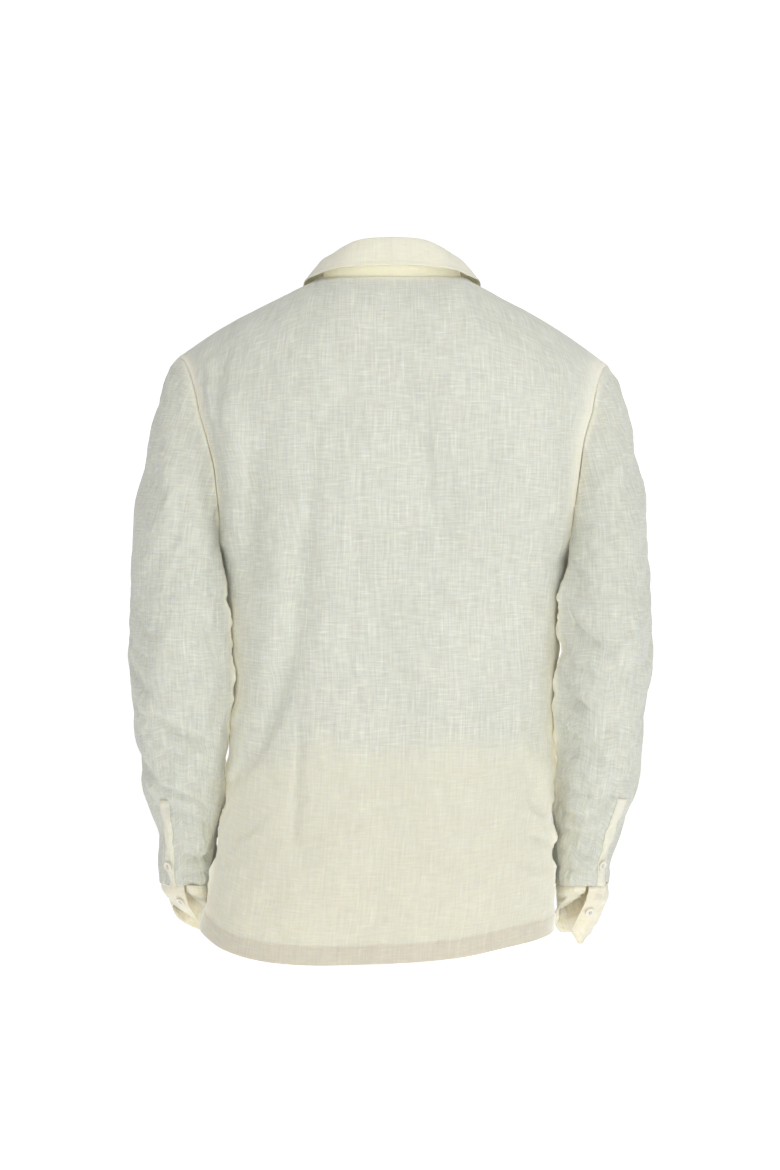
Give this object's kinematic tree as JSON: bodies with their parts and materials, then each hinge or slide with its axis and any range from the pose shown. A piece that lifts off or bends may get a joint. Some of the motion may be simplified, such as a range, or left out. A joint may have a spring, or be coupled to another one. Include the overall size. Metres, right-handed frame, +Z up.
{
  "type": "popover shirt",
  "caption": "Long-sleeved popover shirt as worn: curved hem, turned-down collar, half placket at the front and open cuffs with sleeve plackets.",
  "frame": {"origin": "midway between the two neck points, at the height of the neck seam, where the wearer's shoulders carry the shirt", "axes": "+Z up, the front of the shirt faces -Y, and +X is the wearer's left"},
  "size_m": [0.5657, 0.2682, 0.7752],
  "materials": {
    "cloth": "matt slub weave, ivory",
    "doubled_cloth": "matt slub weave, doubled, warmer ivory",
    "buttons": "pale, slightly pearly"
  },
  "bodies": {
    "root": {"back": "cloth", "front": "cloth", "sleeve_left": "cloth", "sleeve_right": "cloth", "front_placket": "doubled_cloth", "front_placket_under": "doubled_cloth", "collar_stand": "doubled_cloth", "collar_fall": "doubled_cloth", "sleeve_placket_left": "doubled_cloth", "sleeve_placket_right": "doubled_cloth", "cuff_left": "doubled_cloth", "cuff_right": "doubled_cloth", "button_front_1": "buttons", "button_front_2": "buttons", "button_front_3": "buttons", "button_sleeve_left": "buttons", "button_sleeve_right": "buttons", "button_cuff_left": "buttons", "button_cuff_right": "buttons"}
  },
  "joints": []
}
